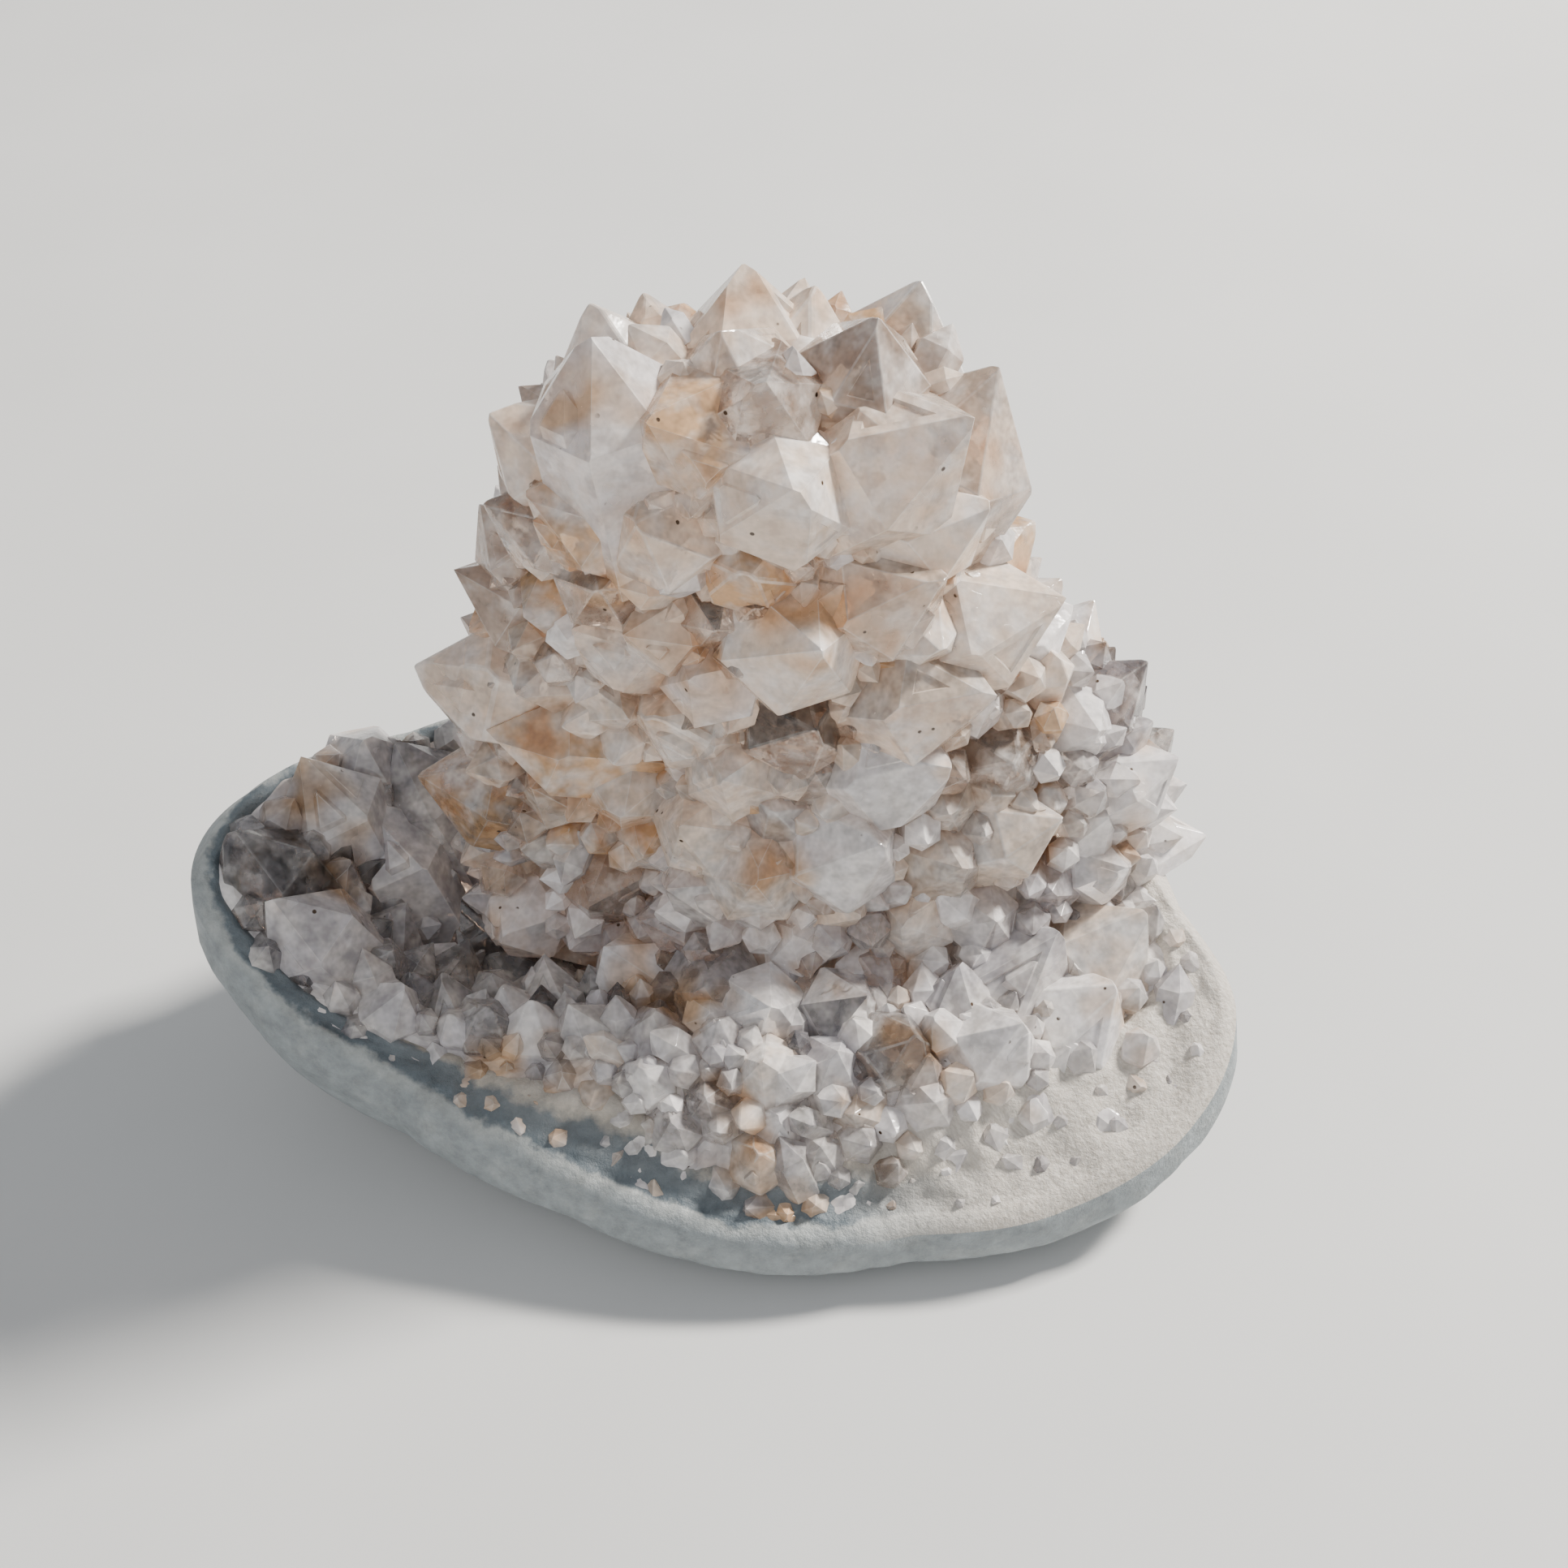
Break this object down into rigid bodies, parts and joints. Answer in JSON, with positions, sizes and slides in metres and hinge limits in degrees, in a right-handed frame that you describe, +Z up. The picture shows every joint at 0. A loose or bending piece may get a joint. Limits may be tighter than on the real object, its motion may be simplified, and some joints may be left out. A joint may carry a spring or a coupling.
{
  "type": "skeletal quartz specimen",
  "caption": "Cluster of intergrown skeletal quartz crystals rising as a stout tower from a crystal bed in a boat-shaped agate rind.",
  "frame": {"origin": "on the surface the specimen stands on, under the middle of its outline", "axes": "+X to the right along the boat-shaped rind, +Y away from the viewer, +Z up the tower of crystals"},
  "size_m": [0.124, 0.079, 0.1053],
  "materials": {
    "quartz": "clear to cloudy crystal, pale smoky with warm brown stains, glassy faces",
    "agate": "dull grey-blue agate skin with a paler fibrous edge"
  },
  "bodies": {
    "root": {"quartz": "quartz", "rind": "agate"}
  },
  "joints": []
}
